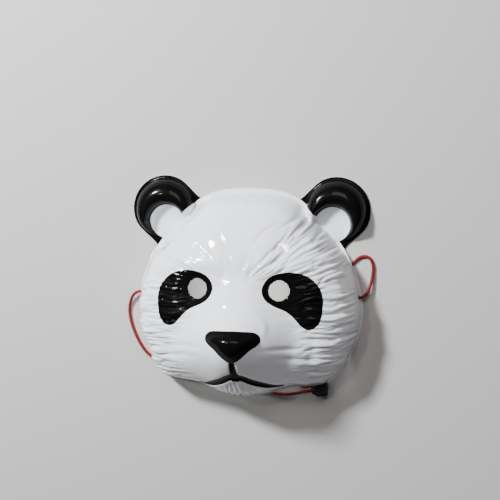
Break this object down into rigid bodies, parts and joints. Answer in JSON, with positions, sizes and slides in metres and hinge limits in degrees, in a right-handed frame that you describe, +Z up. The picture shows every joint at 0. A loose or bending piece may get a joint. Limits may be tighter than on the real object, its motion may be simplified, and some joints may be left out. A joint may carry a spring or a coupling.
{
  "type": "panda mask",
  "caption": "Animal face mask of thin formed plastic with padded round ears, round eye holes, a raised nose and fur relief, and an elastic head cord that ends in a ribbed cap",
  "frame": {"origin": "middle of the shell's outline, on the surface that the mask lies on", "axes": "+X across the face to the viewer's right, +Y from the chin to the forehead, +Z up, the way the face looks"},
  "size_m": [0.2178, 0.1907, 0.089],
  "materials": {
    "shell_plastic": "glossy white formed sheet, painted gloss black on the ears, eye patches, nose and mouth line",
    "elastic": "red braided cover over elastic",
    "cap_plastic": "satin black moulded plastic with fine ribs"
  },
  "bodies": {
    "root": {"mask_shell": "shell_plastic", "cord_left": "elastic", "cord_right": "elastic", "knot_left": "elastic", "knot_right": "elastic", "cord_cap": "cap_plastic"}
  },
  "joints": []
}
